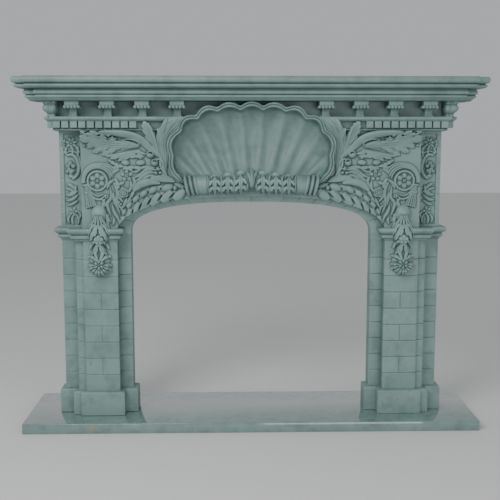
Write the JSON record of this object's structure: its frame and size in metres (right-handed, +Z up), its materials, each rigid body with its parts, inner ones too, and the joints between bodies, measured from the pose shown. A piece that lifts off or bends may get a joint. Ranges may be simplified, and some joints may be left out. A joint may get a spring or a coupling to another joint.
{
  "type": "fireplace mantel",
  "caption": "Carved green marble fireplace mantel: a shell over a flattened arch, leaf and flower relief, coursed legs, a bracketed frieze and a moulded shelf on a hearth slab.",
  "frame": {"origin": "middle of the underside of the hearth slab", "axes": "+X across the mantel towards its right end as seen from the room, +Y from the room towards the wall, +Z up"},
  "size_m": [1.836, 0.425, 1.3961],
  "materials": {
    "marble": "honed",
    "polished_marble": "polished"
  },
  "bodies": {
    "root": {"hearth_slab": "polished_marble", "base_left": "marble", "base_right": "marble", "leg_left": "marble", "leg_right": "marble", "impost_left": "marble", "impost_right": "marble", "header": "marble", "pendant_left": "marble", "pendant_right": "marble", "frieze_board": "marble", "bracket_left_1": "marble", "bracket_left_2": "marble", "bracket_left_3": "marble", "bracket_left_4": "marble", "bracket_right_1": "marble", "bracket_right_2": "marble", "bracket_right_3": "marble", "bracket_right_4": "marble", "corner_bracket_left": "marble", "corner_bracket_right": "marble", "bed_moulding": "marble", "shelf": "marble"}
  },
  "joints": []
}
